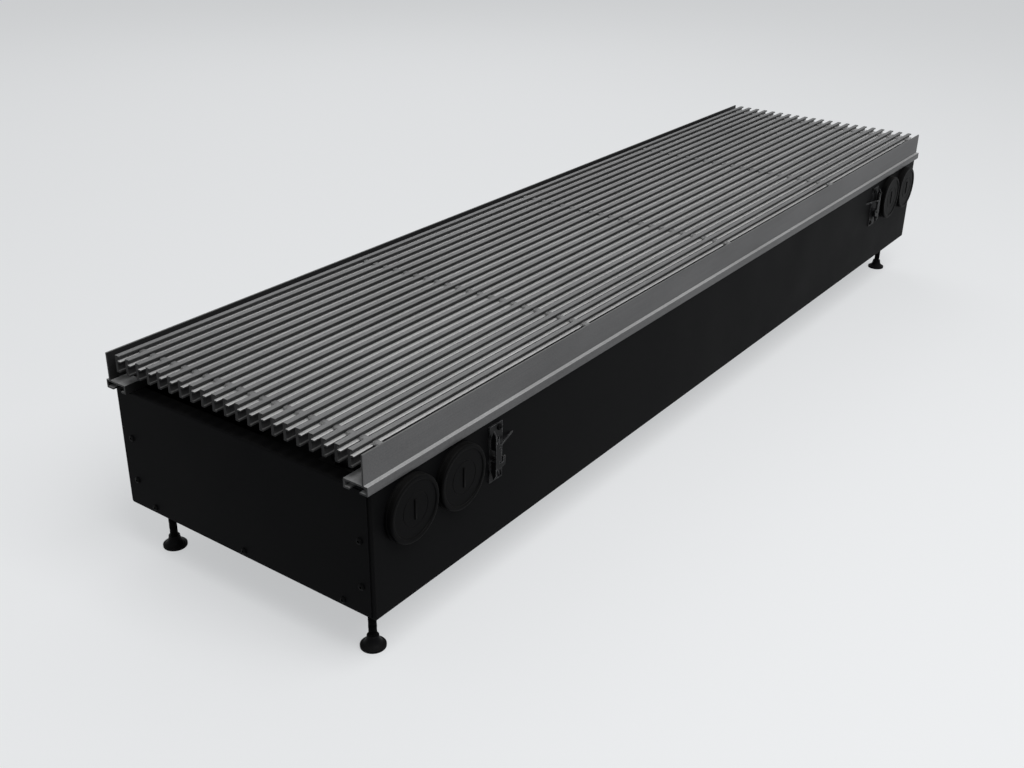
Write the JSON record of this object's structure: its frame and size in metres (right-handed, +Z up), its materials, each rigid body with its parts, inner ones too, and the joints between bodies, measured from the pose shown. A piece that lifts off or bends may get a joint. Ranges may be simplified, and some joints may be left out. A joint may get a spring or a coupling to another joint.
{
  "type": "trench convector heater",
  "caption": "Long floor trough on levelling feet with a finned water coil inside, a lift-out linear bar grille on top and capped round entries in one side.",
  "frame": {"origin": "middle of the overall footprint at the level of the feet's undersides", "axes": "+X along the trough away from the water connections, +Y away from the side with the capped entries, +Z up"},
  "size_m": [1.6, 0.4136, 0.27],
  "materials": {
    "casing_paint": "fine-textured black powder coat, satin",
    "rail_aluminium": "natural anodised, satin, drawn along its length",
    "bar_aluminium": "natural anodised, satin, drawn along its length",
    "support_aluminium": "milled, black anodised",
    "strip_rubber": "matt",
    "fin_coated": "thin sheet, graphite coated, matt",
    "coil_coated": "copper tube, graphite coated, matt",
    "fitting_brass": "turned, plain",
    "bracket_coated": "steel sheet, graphite coated, matt",
    "cap_plastic": "moulded, fine grain",
    "foot_plastic": "moulded, fine grain",
    "screw_steel": "black zinc plate",
    "vent_chrome": "nickel plated",
    "anchor_steel": "steel sheet, dark, bare at its cut edges"
  },
  "bodies": {
    "casing": {"trough": "casing_paint", "end_wall_near": "casing_paint", "end_wall_far": "casing_paint", "frame_rail_near": "rail_aluminium", "frame_rail_far": "rail_aluminium", "damping_strip_near": "strip_rubber", "damping_strip_far": "strip_rubber", "fin_block": "fin_coated", "heater_coil": "coil_coated", "coil_bracket_near": "bracket_coated", "coil_bracket_far": "bracket_coated", "flow_union": "fitting_brass", "return_union": "fitting_brass", "bleed_valve": "fitting_brass", "anchor_near": "anchor_steel", "anchor_far": "anchor_steel", "foot_nuts": "screw_steel", "casing_screws": "screw_steel", "rail_rivets": "rail_aluminium"},
    "grille": {"grille_bar_01": "bar_aluminium", "grille_bar_02": "bar_aluminium", "grille_bar_03": "bar_aluminium", "grille_bar_04": "bar_aluminium", "grille_bar_05": "bar_aluminium", "grille_bar_06": "bar_aluminium", "grille_bar_07": "bar_aluminium", "grille_bar_08": "bar_aluminium", "grille_bar_09": "bar_aluminium", "grille_bar_10": "bar_aluminium", "grille_bar_11": "bar_aluminium", "grille_bar_12": "bar_aluminium", "grille_bar_13": "bar_aluminium", "grille_bar_14": "bar_aluminium", "grille_bar_15": "bar_aluminium", "grille_bar_16": "bar_aluminium", "grille_bar_17": "bar_aluminium", "grille_bar_18": "bar_aluminium", "grille_bar_19": "bar_aluminium", "grille_bar_20": "bar_aluminium", "grille_bar_21": "bar_aluminium", "cross_support_1": "support_aluminium", "cross_support_2": "support_aluminium", "cross_support_3": "support_aluminium", "cross_support_4": "support_aluminium", "cross_support_5": "support_aluminium", "bar_spacers": "bar_aluminium"},
    "cap_1": {"entry_cap_1": "cap_plastic"},
    "cap_2": {"entry_cap_2": "cap_plastic"},
    "cap_3": {"entry_cap_3": "cap_plastic"},
    "cap_4": {"entry_cap_4": "cap_plastic"},
    "foot_1": {"foot_pad_1": "foot_plastic"},
    "foot_thread_1": {"foot_screw_1": "screw_steel"},
    "foot_2": {"foot_pad_2": "foot_plastic"},
    "foot_thread_2": {"foot_screw_2": "screw_steel"},
    "foot_3": {"foot_pad_3": "foot_plastic"},
    "foot_thread_3": {"foot_screw_3": "screw_steel"},
    "foot_4": {"foot_pad_4": "foot_plastic"},
    "foot_thread_4": {"foot_screw_4": "screw_steel"},
    "vent": {"bleed_screw": "vent_chrome"}
  },
  "joints": [
    {"name": "grille_lift", "type": "slide", "parent": "casing", "child": "grille", "axis": [0, 0, 1], "range_m": [0, 0.08]},
    {"name": "cap_pull_1", "type": "slide", "parent": "casing", "child": "cap_1", "axis": [0, -1, 0], "range_m": [0, 0.08]},
    {"name": "cap_pull_2", "type": "slide", "parent": "casing", "child": "cap_2", "axis": [0, -1, 0], "range_m": [0, 0.08]},
    {"name": "cap_pull_3", "type": "slide", "parent": "casing", "child": "cap_3", "axis": [0, -1, 0], "range_m": [0, 0.08]},
    {"name": "cap_pull_4", "type": "slide", "parent": "casing", "child": "cap_4", "axis": [0, -1, 0], "range_m": [0, 0.08]},
    {"name": "foot_travel_1", "type": "slide", "parent": "casing", "child": "foot_1", "axis": [0, 0, 1], "range_m": [-0.02, 0.04]},
    {"name": "foot_turn_1", "type": "hinge", "parent": "foot_1", "child": "foot_thread_1", "pos_m": [-0.762, -0.16175, 0.05], "axis": [0, 0, 1], "range_deg": [-4800, 9600]},
    {"name": "foot_travel_2", "type": "slide", "parent": "casing", "child": "foot_2", "axis": [0, 0, 1], "range_m": [-0.02, 0.04]},
    {"name": "foot_turn_2", "type": "hinge", "parent": "foot_2", "child": "foot_thread_2", "pos_m": [0.762, -0.16175, 0.05], "axis": [0, 0, 1], "range_deg": [-4800, 9600]},
    {"name": "foot_travel_3", "type": "slide", "parent": "casing", "child": "foot_3", "axis": [0, 0, 1], "range_m": [-0.02, 0.04]},
    {"name": "foot_turn_3", "type": "hinge", "parent": "foot_3", "child": "foot_thread_3", "pos_m": [0.762, 0.16925, 0.05], "axis": [0, 0, 1], "range_deg": [-4800, 9600]},
    {"name": "foot_travel_4", "type": "slide", "parent": "casing", "child": "foot_4", "axis": [0, 0, 1], "range_m": [-0.02, 0.04]},
    {"name": "foot_turn_4", "type": "hinge", "parent": "foot_4", "child": "foot_thread_4", "pos_m": [-0.762, 0.16925, 0.05], "axis": [0, 0, 1], "range_deg": [-4800, 9600]},
    {"name": "vent_turn", "type": "hinge", "parent": "casing", "child": "vent", "pos_m": [-0.6, 0.04175, 0.185], "axis": [0, 0, 1], "range_deg": [0, 360]}
  ],
  "couplings": [
    {"joint": "foot_turn_1", "follows": "foot_travel_1", "rad_per_m": 4188.8},
    {"joint": "foot_turn_2", "follows": "foot_travel_2", "rad_per_m": 4188.8},
    {"joint": "foot_turn_3", "follows": "foot_travel_3", "rad_per_m": 4188.8},
    {"joint": "foot_turn_4", "follows": "foot_travel_4", "rad_per_m": 4188.8}
  ]
}
